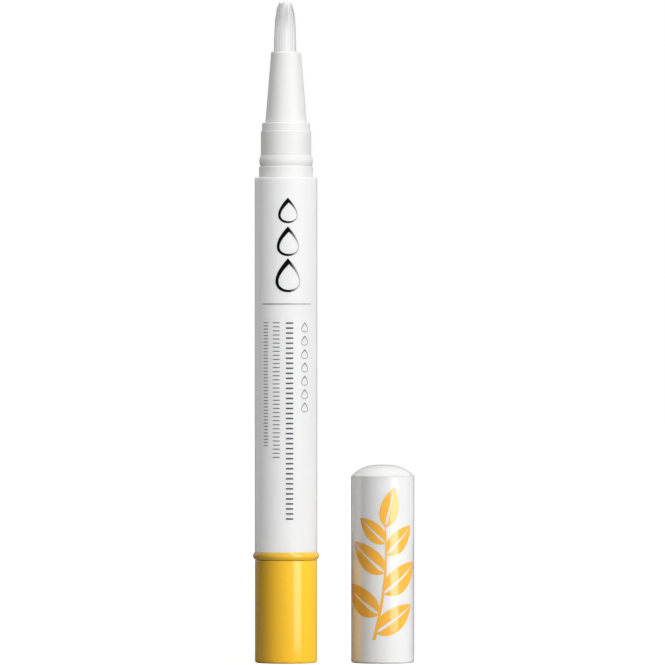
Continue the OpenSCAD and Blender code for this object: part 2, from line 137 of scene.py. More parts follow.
class StudioSettings(bpy.types.PropertyGroup):
    """Light and camera of the studio"""
    key_power: lamp_power("Key Power", "the wide soft light at the front right", 14.5)
    barrel_key_power: lamp_power("Barrel Key Power",
                                 "the key on the barrel and the floor", 17.7)
    cap_key_power: lamp_power("Cap Key Power", "the key on the cap's sleeve", 18.7)
    dome_key_power: lamp_power("Dome Key Power", "the key on the cap's domed end", 13.2)
    knob_key_power: lamp_power("Knob Key Power", "the key on the yellow shells", 14.9)
    tuft_key_power: lamp_power("Tuft Key Power", "the key on the bristle tuft", 19.5)
    tuft_left_power: lamp_power("Tuft Left Power", "the light behind the tuft's left", 5)
    tuft_right_power: lamp_power("Tuft Right Power", "the light behind the tuft's right", 4)
    barrel_fill_power: lamp_power("Barrel Fill Power",
                                  "the fill at the left of the barrel", 5.9)
    nozzle_fill_power: lamp_power("Nozzle Fill Power", "the front fill on the nozzle", 6.6)
    knob_strip_power: lamp_power("Knob Strip Power",
                                 "the strip that the knob mirrors", 0.36, most=20)
    cap_strip_power: lamp_power("Cap Strip Power",
                                "the strip that the cap mirrors", 0.32, most=20)
    sprig_strip_power: lamp_power("Sprig Strip Power",
                                  "the strip that the golden ink mirrors", 1.4, most=20)
    top_power: lamp_power("Top Power", "the overhead light, on the white shells", 4.0)
    knob_top_power: lamp_power("Knob Top Power",
                               "the overhead light on the yellow shells", 2.5)
    pale_rim_power: lamp_power("Pale Rim Power", "the left rim light on the white shells",
                               1.1)
    knob_rim_power: lamp_power("Knob Rim Power", "the left rim light on the knob", 3.2)
    ring_rim_power: lamp_power("Ring Rim Power", "each rim light on the trim ring", 1)
    back_power: lamp_power("Back Power", "the soft light behind the object", 14)
    ambient: bpy.props.FloatProperty(
        name="Ambient", description="Brightness of the studio around the object", min=0,
        max=2, default=0.15)
    camera_height: bpy.props.FloatProperty(
        name="Camera Height", description="Height of the camera above the floor",
        subtype="DISTANCE", min=0, max=0.3, default=0.06335)
    camera_distance: bpy.props.FloatProperty(
        name="Camera Distance", description="Distance of the camera from the pen's axis",
        subtype="DISTANCE", min=0.5, max=5, default=1.55)
    camera_side: bpy.props.FloatProperty(
        name="Camera Side Step", description="How far the camera stands to the pen's right",
        subtype="DISTANCE", min=-0.1, max=0.1, default=0.00891)
    mm_per_pixel: bpy.props.FloatProperty(
        name="Millimetres per Pixel", description="Scale of the picture at the pen's axis",
        min=0.05, max=1, default=0.19185)


# Modelling helpers

def clear_selection():
    """Leaves edit mode and deselects everything, because operators act on what is selected."""
    if bpy.context.object and bpy.context.object.mode != "OBJECT":
        bpy.ops.object.mode_set(mode="OBJECT")
    bpy.ops.object.select_all(action="DESELECT")


def pick(pieces):
    """Selects these objects alone and makes the first one active."""
    clear_selection()
    for piece in pieces:
        piece.select_set(True)
    bpy.context.view_layer.objects.active = pieces[0]


def joined(pieces, name):
    """The pieces as one named object."""
    pick(pieces)
    if len(pieces) > 1:
        bpy.ops.object.join()
    pieces[0].name = pieces[0].data.name = name
    return pieces[0]


def finish_mesh(piece, smooth_angle=40):
    """Merges doubles, turns the faces outwards and smooths the shading."""
    pick([piece])
    bpy.ops.object.mode_set(mode="EDIT")
    bpy.ops.mesh.select_all(action="SELECT")
    bpy.ops.mesh.remove_doubles(threshold=1e-7)
    bpy.ops.mesh.normals_make_consistent(inside=False)
    bpy.ops.object.mode_set(mode="OBJECT")
    bpy.ops.object.shade_smooth_by_angle(angle=math.radians(smooth_angle))
    return piece


def apply_modifier(piece, modifier):
    """Makes a modifier's result the piece's own mesh."""
    pick([piece])
    bpy.ops.object.modifier_apply(modifier=modifier.name)


def along(points, t):
    """The point at share t of a polyline of evenly numbered points."""
    spot = min(max(t, 0), 1) * (len(points) - 1)
    i = min(int(spot), len(points) - 2)
    return Vector(points[i]).lerp(Vector(points[i + 1]), spot - i)


def patch(edge_a, edge_b, steps, across=2):
    """A flat printed shape between two edges, laid in X and Z: a grid primitive whose
    rows run from one edge to the other. Each edge is a list of (x, z) in metres."""
    clear_selection()
    bpy.ops.mesh.primitive_grid_add(x_subdivisions=steps, y_subdivisions=across, size=2)
    piece = bpy.context.object
    for vertex in piece.data.vertices:
        t, side = (vertex.co.x + 1) / 2, (vertex.co.y + 1) / 2
        spot = along(edge_a, t).lerp(along(edge_b, t), side)
        vertex.co = (spot.x, 0, spot.y)
    return piece


def bar(x_a, x_b, z_a, z_b, steps=6):
    """A plain printed bar."""
    return patch([(x_a, z_a), (x_b, z_a)], [(x_a, z_b), (x_b, z_b)], steps, 1)


def repeated(piece, count, step_x, step_z):
    """The piece repeated along a straight line by an array."""
    array = piece.modifiers.new("Repeat", "ARRAY")
    array.count = count
    array.use_relative_offset = False
    array.use_constant_offset = True
    array.constant_offset_displace = (step_x, 0, step_z)
    apply_modifier(piece, array)
    return piece


def copy_of(piece, move=(0, 0), turn=0, scale=(1, 1)):
    """A copy of a flat shape, scaled, turned and moved in its own plane."""
    pick([piece])
    bpy.ops.object.duplicate()
    made = bpy.context.object
    c, s = math.cos(turn), math.sin(turn)
    for vertex in made.data.vertices:
        x, z = vertex.co.x * scale[0], vertex.co.z * scale[1]
        vertex.co = (c * x - s * z + move[0], 0, s * x + c * z + move[1])
    return made


def roll_on(piece, radius, axis_x, depth):
    """Rolls a flat print round an upright shell, as a label is put on, and gives its ink
    a thickness. X becomes the length of arc from the front."""
    for vertex in piece.data.vertices:
        turn = vertex.co.x / radius
        vertex.co = (axis_x + radius * math.sin(turn), -radius * math.cos(turn), vertex.co.z)
    thick = piece.modifiers.new("Ink", "SOLIDIFY")
    thick.thickness = depth
    thick.offset = 0
    apply_modifier(piece, thick)
    return finish_mesh(piece, 30)


def turned(name, profile, steps=96):
    """A closed ring turned from a profile of (radius, height) points."""
    clear_selection()
    bpy.ops.mesh.primitive_circle_add(vertices=len(profile), radius=1)
    piece = bpy.context.object
    for vertex, (r, z) in zip(piece.data.vertices, profile):
        vertex.co = (r, 0, z)
    bpy.ops.object.mode_set(mode="EDIT")
    bpy.ops.mesh.select_all(action="SELECT")
    bpy.ops.mesh.spin(steps=steps, angle=math.tau, center=(0, 0, 0), axis=(0, 0, 1))
    bpy.ops.object.mode_set(mode="OBJECT")
    piece.name = piece.data.name = name
    return finish_mesh(piece)


def dress(piece, material):
    """Gives the piece this material alone."""
    piece.data.materials.clear()
    piece.data.materials.append(material)


# Material helpers

def new_group(name, inputs, outputs):
    """A shader node group with its named inputs and outputs."""
    group = bpy.data.node_groups.new(name, "ShaderNodeTree")
    for label, kind, value in inputs:
        socket = group.interface.new_socket(name=label, in_out="INPUT", socket_type=kind)
        if value is not None:
            socket.default_value = value
    for label, kind in outputs:
        group.interface.new_socket(name=label, in_out="OUTPUT", socket_type=kind)
    return group, group.nodes.new("NodeGroupInput"), group.nodes.new("NodeGroupOutput")


def node(tree, kind, values=(), **settings):
    """A node with its settings and the values of its unlinked inputs."""
    made = tree.nodes.new(kind)
    for key, value in settings.items():
        setattr(made, key, value)
    for socket, value in dict(values).items():
        made.inputs[socket].default_value = value
    return made


def link(tree, out, into):
    """Joins an output to an input."""
    tree.links.new(out, into)


def maths(tree, operation, *sources):
    """The result of a maths node on these outputs."""
    made = node(tree, "ShaderNodeMath", operation=operation)
    for source, into in zip(sources, made.inputs):
        link(tree, source, into)
    return made.outputs[0]


def new_material(name):
    """A material, its node tree and the tree's main shader."""
    made = bpy.data.materials.new(name)
    made.use_nodes = True
    return made, made.node_tree, made.node_tree.nodes["Principled BSDF"]


def moulded_group():
    """The slight unevenness of a moulded shell: a soft drift of tone, a fine skin and the
    faint ripple that the polished mould leaves."""
    group, enter, leave = new_group("Moulded Skin", [
        ("Position", "NodeSocketVector", None),
        ("Colour", "NodeSocketColor", (0.8, 0.8, 0.8, 1)),
        ("Tint", "NodeSocketColor", (0.7, 0.7, 0.7, 1)),
        ("Drift", "NodeSocketFloat", 0.25),
        ("Roughness", "NodeSocketFloat", 0.2),
        ("Skin", "NodeSocketFloat", 0.3)],
        [("Colour", "NodeSocketColor"), ("Roughness", "NodeSocketFloat"),
         ("Height", "NodeSocketFloat")])
    drift = node(group, "ShaderNodeTexNoise", {"Scale": 70, "Detail": 2, "Roughness": 0.4})
    skin = node(group, "ShaderNodeTexNoise", {"Scale": 2600, "Detail": 3, "Roughness": 0.6})
    ripple = node(group, "ShaderNodeTexNoise", {"Scale": 260, "Detail": 1})
    for texture in (drift, skin, ripple):
        link(group, enter.outputs["Position"], texture.inputs["Vector"])
    amount = maths(group, "MULTIPLY", drift.outputs["Fac"], enter.outputs["Drift"])
    mix = node(group, "ShaderNodeMix", data_type="RGBA")
    link(group, amount, mix.inputs["Factor"])
    link(group, enter.outputs["Colour"], mix.inputs["A"])
    link(group, enter.outputs["Tint"], mix.inputs["B"])
    link(group, mix.outputs["Result"], leave.inputs["Colour"])
    spread = node(group, "ShaderNodeMapRange", {"From Min": 0.2, "From Max": 0.8,
                                                "To Min": 0.9, "To Max": 1.1})
    link(group, ripple.outputs["Fac"], spread.inputs["Value"])
    rough = maths(group, "MULTIPLY", enter.outputs["Roughness"], spread.outputs["Result"])
    link(group, rough, leave.inputs["Roughness"])
    fine = maths(group, "MULTIPLY", skin.outputs["Fac"], enter.outputs["Skin"])
    height = maths(group, "ADD", fine, ripple.outputs["Fac"])
    link(group, height, leave.inputs["Height"])
    return group


def scuff_group():
    """Hairline scuffs that run round a shell where it is held and wiped."""
    group, enter, leave = new_group("Handling Scuffs", [
        ("Position", "NodeSocketVector", None),
        ("Roughness", "NodeSocketFloat", 0.2),
        ("Amount", "NodeSocketFloat", 0.1)],
        [("Roughness", "NodeSocketFloat"), ("Mask", "NodeSocketFloat")])
    stretch = node(group, "ShaderNodeMapping", {"Scale": (60, 60, 5200)})
    lines = node(group, "ShaderNodeTexNoise", {"Scale": 1, "Detail": 2, "Roughness": 0.5})
    patches = node(group, "ShaderNodeTexNoise", {"Scale": 140, "Detail": 2})
    link(group, enter.outputs["Position"], stretch.inputs["Vector"])
    link(group, stretch.outputs["Vector"], lines.inputs["Vector"])
    link(group, enter.outputs["Position"], patches.inputs["Vector"])
    thin = node(group, "ShaderNodeMapRange", {"From Min": 0.6, "From Max": 0.75})
    where = node(group, "ShaderNodeMapRange", {"From Min": 0.35, "From Max": 0.75},
                 interpolation_type="SMOOTHERSTEP")
    link(group, lines.outputs["Fac"], thin.inputs["Value"])
    link(group, patches.outputs["Fac"], where.inputs["Value"])
    mask = maths(group, "MULTIPLY", thin.outputs["Result"], where.outputs["Result"])
    link(group, mask, leave.inputs["Mask"])
    more = maths(group, "MULTIPLY_ADD", mask, enter.outputs["Amount"],
                 enter.outputs["Roughness"])
    link(group, more, leave.inputs["Roughness"])
    return group


def shared_group(name, build):
    """The node group of this name, built at its first use."""
    return bpy.data.node_groups.get(name) or build()


def rgba(colour):
    """The colour with an alpha of one."""
    return (*colour, 1)


def shell_material(name, colour, tint, roughness, centre_x=0, drift=0.3, skin=0.25,
                   scuffs=0.08, bump=0.02, glow=0, specular=0.5, coat=0):
    """A moulded plastic. centre_x puts its pattern on a shell that stands beside the pen,
    and glow is the share of light that passes through the plastic's body."""
    made, tree, shader = new_material(name)
    place = node(tree, "ShaderNodeTexCoord")
    centre = node(tree, "ShaderNodeMapping", {"Location": (-centre_x, 0, 0)})
    link(tree, place.outputs["Object"], centre.inputs["Vector"])
    skin_node = node(tree, "ShaderNodeGroup",
                     node_tree=shared_group("Moulded Skin", moulded_group))
    for label, value in {"Colour": rgba(colour), "Tint": rgba(tint), "Drift": drift,
                         "Roughness": roughness, "Skin": skin}.items():
        skin_node.inputs[label].default_value = value
    scuff_node = node(tree, "ShaderNodeGroup",
                      node_tree=shared_group("Handling Scuffs", scuff_group))
    scuff_node.inputs["Amount"].default_value = scuffs
    link(tree, centre.outputs["Vector"], skin_node.inputs["Position"])
    link(tree, centre.outputs["Vector"], scuff_node.inputs["Position"])
    link(tree, skin_node.outputs["Roughness"], scuff_node.inputs["Roughness"])
    relief = node(tree, "ShaderNodeBump", {"Strength": bump, "Distance": 0.0001})
    link(tree, skin_node.outputs["Height"], relief.inputs["Height"])
    link(tree, relief.outputs["Normal"], shader.inputs["Normal"])
    link(tree, skin_node.outputs["Colour"], shader.inputs["Base Color"])
    link(tree, scuff_node.outputs["Roughness"], shader.inputs["Roughness"])
    shader.inputs["Specular IOR Level"].default_value = specular
    shader.inputs["IOR"].default_value = 1.49
    if coat:
        shader.inputs["Coat Weight"].default_value = coat
        shader.inputs["Coat Roughness"].default_value = 0.05
    if glow:
        shader.inputs["Subsurface Weight"].default_value = glow
        shader.inputs["Subsurface Radius"].default_value = (1, 0.95, 0.9)
        shader.inputs["Subsurface Scale"].default_value = 0.001
    return made


def bristle_material(settings):
    """Translucent nylon: each bristle has its own tone, kept in an attribute, and darkens
    a little towards the oil at its root. Near the tip the attribute also holds painted
    light that makes the bristles lighter."""
    made, tree, shader = new_material("Nylon Bristle")
    tone = node(tree, "ShaderNodeAttribute", attribute_name="tone")
    shade = node(tree, "ShaderNodeMapRange", {"To Min": 0.6, "To Max": 1.0})
    link(tree, tone.outputs["Fac"], shade.inputs["Value"])
    colour = node(tree, "ShaderNodeMix", data_type="RGBA", blend_type="MULTIPLY")
    colour.inputs["Factor"].default_value = 1
    colour.inputs["A"].default_value = rgba(settings.tone)
    link(tree, shade.outputs["Result"], colour.inputs["B"])
    link(tree, colour.outputs["Result"], shader.inputs["Base Color"])
    shader.inputs["Roughness"].default_value = 0.42
    return made


def ink_material(name, dark, light, x_dark, x_light, roughness=0.3, coat=0,
                 specular=0.5):
    """Printed ink with the slight grain of a screen print. Where its dark and light colours
    differ, it fades from dark to light across the shell: painted shade and painted light.
    """
    made, tree, shader = new_material(name)
    shader.inputs["Coat Weight"].default_value = coat
    shader.inputs["Coat Roughness"].default_value = 0.1
    shader.inputs["Specular IOR Level"].default_value = specular
    place = node(tree, "ShaderNodeTexCoord")
    split = node(tree, "ShaderNodeSeparateXYZ")
    link(tree, place.outputs["Object"], split.inputs["Vector"])
    # The fade along X is painted shade and painted light: darker on the shaded side, lighter
    # towards the lit side
    painted_shading = node(tree, "ShaderNodeMapRange", {"From Min": x_dark, "From Max": x_light},
                interpolation_type="SMOOTHSTEP")
    link(tree, split.outputs["X"], painted_shading.inputs["Value"])
    colour = node(tree, "ShaderNodeMix", data_type="RGBA")
    colour.inputs["A"].default_value = rgba(dark)
    colour.inputs["B"].default_value = rgba(light)
    link(tree, painted_shading.outputs["Result"], colour.inputs["Factor"])
    grain = node(tree, "ShaderNodeTexNoise", {"Scale": 4200, "Detail": 2})
    link(tree, place.outputs["Object"], grain.inputs["Vector"])
    rough = node(tree, "ShaderNodeMapRange", {"To Min": roughness * 0.8,
                                              "To Max": roughness * 1.25})
    link(tree, grain.outputs["Fac"], rough.inputs["Value"])
    link(tree, rough.outputs["Result"], shader.inputs["Roughness"])
    link(tree, colour.outputs["Result"], shader.inputs["Base Color"])
    relief = node(tree, "ShaderNodeBump", {"Strength": 0.1, "Distance": 0.00001})
    link(tree, grain.outputs["Fac"], relief.inputs["Height"])
    link(tree, relief.outputs["Normal"], shader.inputs["Normal"])
    return made


# Operators

class OILPEN_OT_shells(bpy.types.Operator):
    """Gives the moulded shells that show their finishes"""
    bl_idname = "oilpen.shells"
    bl_label = "Finish Shells"

    def execute(self, context):
        s = context.scene.oilpen_shells
        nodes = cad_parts
        white_tint, ring_tint = (0.78, 0.78, 0.79), (0.76, 0.40, 0.02)
        dress(nodes["barrel"], shell_material(
            "Polished White Barrel", s.barrel_white, white_tint, s.shell_gloss, glow=0.3,
            specular=1))
        dress(nodes["cap_sleeve"], shell_material(
            "Polished White Cap", s.cap_white, white_tint, s.shell_gloss, CAP_X, glow=0.3,
            specular=1, coat=1))
        dress(nodes["cap_dome"], shell_material(
            "Polished Cap End", s.dome_white, (0.86, 0.865, 0.83), s.shell_gloss, CAP_X,
            glow=0.3, specular=1))
        dress(nodes["nozzle"], shell_material(
            "Satin White Nozzle", s.nozzle_white, (0.75, 0.75, 0.735), s.nozzle_gloss,
            skin=0.8, bump=0.04, scuffs=0.04, glow=0.3, specular=1))
        dress(nodes["knob"], shell_material(
            "Golden Yellow Knob", s.knob_yellow, (0.84, 0.44, 0.015), s.shell_gloss,
            drift=0.35, specular=0.7))
        dress(nodes["trim_ring"], shell_material(
            "Golden Yellow Ring", s.ring_yellow, ring_tint, s.shell_gloss, specular=1))
        # The bush takes the ring's yellow, partly as the knob's own colour and partly so the
        # gap under the ring shows warm: painted bounce light
        dress(nodes["tail_bush"], shell_material(
            "Golden Yellow Bush", s.ring_yellow, ring_tint, 0.3))
        return {"FINISHED"}


class OILPEN_OT_inside(bpy.types.Operator):
    """Gives the pieces inside the pen and the cap their finishes"""
    bl_idname = "oilpen.inside"
    bl_label = "Finish Inside"

    def execute(self, context):
        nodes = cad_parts
        natural = shell_material("Natural Resin", (0.62, 0.61, 0.56), (0.52, 0.51, 0.46),
                                 0.4, drift=0.6, skin=0.7, bump=0.06)
        liner = shell_material("Natural Liner Resin", (0.66, 0.66, 0.62), (0.58, 0.57, 0.52),
                               0.38, CAP_X, drift=0.6, skin=0.7, bump=0.06)
        feed = shell_material("White Feed Resin", (0.75, 0.75, 0.73), (0.64, 0.64, 0.62),
                              0.32, drift=0.5, skin=0.6, bump=0.05)
        click = shell_material("Click Resin", (0.42, 0.43, 0.44), (0.34, 0.35, 0.36), 0.35,
                               drift=0.5, skin=0.6, bump=0.05)
        rubber = shell_material("Seal Rubber", (0.035, 0.035, 0.037), (0.06, 0.06, 0.06),
                                0.6, drift=0.7, skin=1, bump=0.12)
        steel = shell_material("Drawn Steel Pipe", (0.62, 0.62, 0.63), (0.5, 0.5, 0.51),
                               0.24, drift=0.4, scuffs=0.25)
        steel.node_tree.nodes["Principled BSDF"].inputs["Metallic"].default_value = 1
        for name, material in {
                "knob_core": natural, "feed_nut": natural, "brush_ferrule": natural,
                "inner_cap": liner, "drive_sleeve": feed,
                "screw_rod": feed, "piston": feed, "pipe_joint": feed,
                "click_ring": click, "piston_seal": rubber, "joint_seal": rubber,
                "feed_pipe": steel}.items():
            dress(nodes[name], material)
        return {"FINISHED"}


class OILPEN_OT_tuft(bpy.types.Operator):
    """Makes the tuft: fine bristles on a fused root, bunched into wisps at the tip"""
    bl_idname = "oilpen.tuft"
    bl_label = "Bristle Tuft"

    # Half width of the tuft at each height above the nozzle's mouth, in millimetres
    OUTLINE = [(0, 2.2), (1.5, 2.19), (3.1, 2.17), (5.0, 2.10), (7.0, 1.91), (8.0, 1.74),
               (8.9, 1.50), (9.3, 1.34), (9.6, 1.1)]
    # Gaps between wisps: place across the tuft, half width and how far down they reach
    GAPS = [(-0.48, 0.06, 1.2), (0.1, 0.12, 2.6), (0.4, 0.14, 3.4), (0.74, 0.05, 1.2)]
    GAP_SPAN = 0.3
    BUNCHES = 120
    # Share of the whole tuft's roundness in the shading of each bristle
    BUNDLE = 1.8
    # How far the bristles close in by the tip, and the curve of it
    CLOSE_IN, CLOSE_CURVE = 0.19, 1.6
    # Lengths that the trim takes off a whole bunch, and off one bristle
    BUNCH_TRIM, BRISTLE_TRIM, TRIM_CURVE = 0.3, 1.3, 1.2
    # Sideways drift of a bunch and of one bristle at the tip, as shares of the radius
    BUNCH_DRIFT, BRISTLE_DRIFT = 0.03, 0.015
    # Shares of a bunch's tone and of the bristle's own, and what both start from
    BUNCH_TONE, BRISTLE_TONE, TONE_BASE = 0.7, 0.5, -0.08
    # How strongly bristles draw to their bunch: all over, with height and near the tip
    PULL, PULL_UP, PULL_TIP, PULL_CURVE = 0.2, 0.08, 0.36, 1.2
    # Depth of the zone near the tip, how much lighter the bristles are painted there and the
    # curve of it: painted light
    TIP_ZONE, TIP_TONE, TIP_TONE_CURVE = 2.6, 0.6, 1.5
    # Radius at the very tip, as a share, and the length of the taper
    TIP_R, TAPER = 0.2, 2.4
    ROOT_H, ROOT_EDGE, ROOT_TONE, PIPE_GAP = 0.9, 0.08, 0.2, 0.03
    SIDES, RINGS, ROOT_STEPS = 5, 9, 48
    HALVINGS = 24
    SMOOTH_ANGLE = 80

    @staticmethod
    def spiral(count):
        """Evenly spread places in a circle of unit radius, as seeds stand in a sunflower."""
        golden = math.pi * (3 - math.sqrt(5))
        for i in range(count):
            share = math.sqrt((i + 0.5) / count)
            yield share * math.cos(i * golden), share * math.sin(i * golden)

    def half_width(self, height):
        """Half width of the outline at this height."""
        for (low, wide), (high, narrow) in zip(self.OUTLINE, self.OUTLINE[1:]):
            if height <= high:
                return wide + (narrow - wide) * (height - low) / (high - low)
        return self.OUTLINE[-1][1]

    def spread(self, height):
        """Half width that the bristles fill, before they are trimmed to the outline."""
        top, wide = self.OUTLINE[-1][0], self.OUTLINE[0][1]
        return wide * (1 - self.CLOSE_IN * (height / top) ** self.CLOSE_CURVE)

    def trimmed_height(self, share):
        """Where a bristle at this share of the tuft's radius meets the outline."""
        low, high = 0, self.OUTLINE[-1][0]
        for _ in range(self.HALVINGS):
            middle = (low + high) / 2
            if self.half_width(middle) < share * self.spread(middle):
                high = middle
            else:
                low = middle
        return low

    def pattern_bristle(self):
        """One straight bristle of unit size, with rings along it."""
        clear_selection()
        bpy.ops.mesh.primitive_cylinder_add(vertices=self.SIDES, radius=1, depth=1,
                                            location=(0, 0, 0.5))
        bpy.ops.object.transform_apply(location=True)
        piece = bpy.context.object
        bpy.ops.object.mode_set(mode="EDIT")
        for ring in range(1, self.RINGS - 1):
            bpy.ops.mesh.select_all(action="SELECT")
            bpy.ops.mesh.bisect(plane_co=(0, 0, ring / (self.RINGS - 1)),
                                plane_no=(0, 0, 1))
        bpy.ops.object.mode_set(mode="OBJECT")
        return piece

    def execute(self, context):
        s = context.scene.oilpen_tuft
        draw = random.Random(s.seed)
        mouth_z = NOZZLE_HIGH.z / MM
        root_z = TUFT_LOW.z / MM
        reach = (TUFT_HIGH.z - NOZZLE_HIGH.z) / MM
        lean = s.lean / MM
        radius = s.thickness / MM / 2
        pattern = self.pattern_bristle()
        spots = [tuple(v.co) for v in pattern.data.vertices]
        faces = [tuple(p.vertices) for p in pattern.data.polygons]
        bpy.data.objects.remove(pattern)

        bunches = []
        for x, y in self.spiral(self.BUNCHES):
            bunches.append((x, y, draw.random(), draw.gauss(0, self.BUNCH_DRIFT),
                            draw.gauss(0, self.BUNCH_DRIFT)))
        places, normals, all_faces, tones_and_tip_light = [], [], [], []
        for cx, cy in self.spiral(s.bristles):
            bunch = min(bunches, key=lambda b: (b[0] - cx) ** 2 + (b[1] - cy) ** 2)
            to_x, to_y = bunch[0] - cx, bunch[1] - cy
            share = math.hypot(cx, cy)
            end = self.trimmed_height(share) - self.BUNCH_TRIM * bunch[2]
            end -= self.BRISTLE_TRIM * draw.random() ** self.TRIM_CURVE
            drift_x = bunch[3] + draw.gauss(0, self.BRISTLE_DRIFT)
            drift_y = bunch[4] + draw.gauss(0, self.BRISTLE_DRIFT)
            tone = self.BUNCH_TONE * bunch[2] + self.BRISTLE_TONE * draw.random()
            tone = min(max(tone + self.TONE_BASE, 0), 1)
            base = len(places)
            for x, y, t in spots:
                z = root_z + self.ROOT_H / 2 + (mouth_z + end - root_z - self.ROOT_H / 2) * t
                over = max(z - mouth_z, 0)
                up = over / reach
                near_tip = max(0, 1 - (reach - over) / self.TIP_ZONE)
                pull = (self.PULL + self.PULL_UP * up
                        + self.PULL_TIP * near_tip ** self.PULL_CURVE)
                wide = self.spread(over) - radius
                px = (cx + pull * to_x + drift_x * up * up) * wide
                py = (cy + pull * to_y + drift_y * up * up) * wide
                for spot, half, deep in self.GAPS:
                    fall = max(0, 1 - (reach - over) / deep)
                    off = bunch[0] - spot
                    if abs(off) < self.GAP_SPAN:
                        open_by = half * fall * (1 - abs(off) / self.GAP_SPAN)
                        px += math.copysign(open_by, off) * wide
                normals.append((x + self.BUNDLE * px / wide, y + self.BUNDLE * py / wide, 0))
                px -= lean * min(1, 1 + (z - mouth_z) / (mouth_z - root_z))
                thin = min(1, self.TIP_R + (1 - self.TIP_R) * (end - over) / self.TAPER)
                places.append(((px + x * radius * thin) * MM, (py + y * radius * thin) * MM,
                               z * MM))
                # Each bristle's own tone, raised near the tip by painted light
                tones_and_tip_light.append(min(tone + self.TIP_TONE * near_tip ** self.TIP_TONE_CURVE, 1))
            all_faces += [tuple(base + k for k in f) for f in faces]
        mesh = bpy.data.meshes.new("bristle_tuft")
        mesh.from_pydata(places, [], all_faces)
        bristles = bpy.data.objects.new("bristle_tuft", mesh)
        context.scene.collection.objects.link(bristles)
        mesh.attributes.new("tone", "FLOAT", "POINT").data.foreach_set("value", tones_and_tip_light)
        root_r = TUFT_HIGH.x
        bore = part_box("feed_pipe")[1].x + self.PIPE_GAP * MM
        low, high = TUFT_LOW.z, TUFT_LOW.z + self.ROOT_H * MM
        edge = self.ROOT_EDGE * MM
        root = turned("tuft_root", [
            (bore, low), (root_r - edge, low), (root_r, low + edge), (root_r, high - edge),
            (root_r - edge, high), (bore, high)], self.ROOT_STEPS)
        root.data.attributes.new("tone", "FLOAT", "POINT").data.foreach_set(
            "value", [self.ROOT_TONE] * len(root.data.vertices))
        tuft = joined([bristles, root], "bristle_tuft")
        pick([tuft])
        bpy.ops.object.shade_smooth_by_angle(angle=math.radians(self.SMOOTH_ANGLE))
        normals += [tuple(v.normal) for v in tuft.data.vertices[len(normals):]]
        tuft.data.normals_split_custom_set_from_vertices(
            [Vector(normal).normalized() for normal in normals])
        dress(tuft, bristle_material(s))
        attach(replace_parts(tuft, "brush_tuft"), PEN)
        return {"FINISHED"}


class OILPEN_OT_barrel_print(bpy.types.Operator):
    """Prints the barrel: a thin rule, an emblem of three oil drops and a plain scale"""
    bl_idname = "oilpen.barrel_print"
    bl_label = "Barrel Print"

    # All in millimetres. The rule's two ends and half its thickness
    RULE = (-4.42, 4.79, 0.075)
    # Each drop's width, height, heavy and light line and the height of its middle
    DROPS = [(5.0, 4.9, 0.60, 0.24, 86.7), (5.7, 5.7, 0.66, 0.26, 80.8),
             (6.4, 6.5, 0.72, 0.28, 74.3)]
    DROPS_X = 0.38
    # How slim a drop's shoulders are, and how much shorter and lower its inner outline is,
    # in widths of its two lines together
    SHOULDERS, INSET, SINK = 1.1, 1.6, 0.35
    DROP_POINTS, BEAD_POINTS = 56, 28
    # Each column's two sides, and the thickness, spacing and full length of its ticks
    COLUMNS = [(-4.25, -3.45, 0.14, 0.62, 24.6), (-2.5, -1.2, 0.16, 0.78, 26.6),
               (0.0, 1.4, 0.3, 0.96, 38.6)]
    # The small drops: their size and lines, number, place and spacing
    BEAD = (2.05, 1.9, 0.13, 0.13)
    BEADS, BEADS_X, BEADS_DROP, BEADS_STEP = 7, 3.6, 0.95, 2.55

    def drop(self, width, height, heavy, light, points):
        """The outline of a drop, heavy at its left and light at its right."""
        def edge(w, h, shift, rise):
            return [((w / 2) * math.sin(a) * math.sin(a / 2) ** self.SHOULDERS + shift,
                     rise + (h / 2) * math.cos(a))
                    for a in (math.tau * i / points for i in range(points + 1))]
        line = heavy + light
        return patch(edge(width, height, 0, 0),
                     edge(width - line, height - self.INSET * line, (heavy - light) / 2,
                          -self.SINK * line),
                     points, 2)

    def execute(self, context):
        s = context.scene.oilpen_print
        radius = BARREL_R + s.ink_depth

        def arc(x):
            return radius * math.asin(x * MM / radius)
        left, right, half = self.RULE
        rule = bar(arc(left), arc(right), s.rule_z - half * MM, s.rule_z + half * MM, 40)
        rule = roll_on(joined([rule], "barrel_rule"), radius, 0, s.ink_depth)
        drops = []
        for width, height, heavy, light, z in self.DROPS:
            drop = self.drop(width * MM, height * MM, heavy * MM, light * MM,
                             self.DROP_POINTS)
            drops.append(copy_of(drop, (arc(self.DROPS_X), z * MM)))
            bpy.data.objects.remove(drop)
        emblem = roll_on(joined(drops, "barrel_emblem"), radius, 0, s.ink_depth)

        top = s.scale_top
        marks = []
        for x_a, x_b, thick, step, length in self.COLUMNS:
            count = int(length / step)
            mark = bar(arc(x_a), arc(x_b), top - thick * MM, top, 4)
            marks.append(repeated(mark, count, 0, -step * MM))
        bead = self.drop(*(size * MM for size in self.BEAD), self.BEAD_POINTS)
        row = copy_of(bead, (arc(self.BEADS_X), top - self.BEADS_DROP * MM))
        bpy.data.objects.remove(bead)
        marks.append(repeated(row, self.BEADS, 0, -self.BEADS_STEP * MM))
        scale = roll_on(joined(marks, "barrel_scale"), radius, 0, s.ink_depth)

        # The barrel's three inks are painted dark on the shaded left and lighter towards the
        # lit right: painted shade and painted light
        painted_shade_emblem_ink = ink_material("Emblem Ink", s.black_ink, s.painted_light_grey_ink, 0.0006, 0.0026,
                              specular=0.08)
        thin = ink_material("Rule Ink", (0.02, 0.02, 0.02), (0.3, 0.3, 0.3), -0.002, 0.004)
        plain = ink_material("Scale Ink", (0.07, 0.07, 0.075), (0.16, 0.16, 0.165), 0, 0.004)
        for piece, ink in ((rule, thin), (emblem, painted_shade_emblem_ink), (scale, plain)):
            dress(piece, ink)
            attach(piece, PEN)
        return {"FINISHED"}


